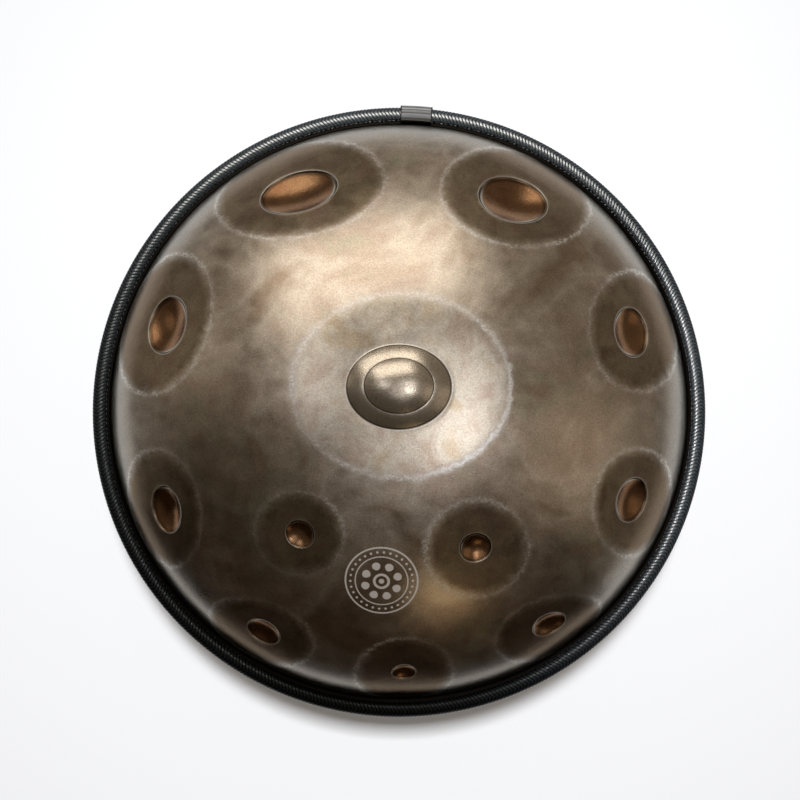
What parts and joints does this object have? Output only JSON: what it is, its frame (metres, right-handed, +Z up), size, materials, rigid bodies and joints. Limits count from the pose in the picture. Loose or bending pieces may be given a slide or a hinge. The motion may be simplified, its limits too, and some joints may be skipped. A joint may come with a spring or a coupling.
{
  "type": "handpan",
  "caption": "Handpan: two domed steel shells glued rim to rim, dimpled tone fields round a raised centre dome, a port underneath and a braided rim trim.",
  "frame": {"origin": "on the surface the pan stands on, under the middle of the ding", "axes": "+Z up along the domes' axis, playing side up; +Y from the ding towards the clip of the rim trim; +X to the right of +Y seen from above"},
  "size_m": [0.5599, 0.5614, 0.255],
  "materials": {
    "nitrided_steel": "satin heat-tinted nitrided steel, bronze-brown",
    "nitrided_steel_lower": "satin nitrided steel, plain bronze-brown",
    "epoxy": "cured dark epoxy",
    "rubber_core": "matt moulded rubber",
    "braided_trim": "black plaited leather cord, semi-gloss",
    "waxed_thread": "waxed black thread",
    "gunmetal_clip": "dark gunmetal plating, satin"
  },
  "bodies": {
    "root": {"top_shell": "nitrided_steel", "bottom_shell": "nitrided_steel_lower", "rim_adhesive": "epoxy", "rim_core": "rubber_core", "rim_braid": "braided_trim", "rim_stitching": "waxed_thread", "rim_clip": "gunmetal_clip"}
  },
  "joints": []
}
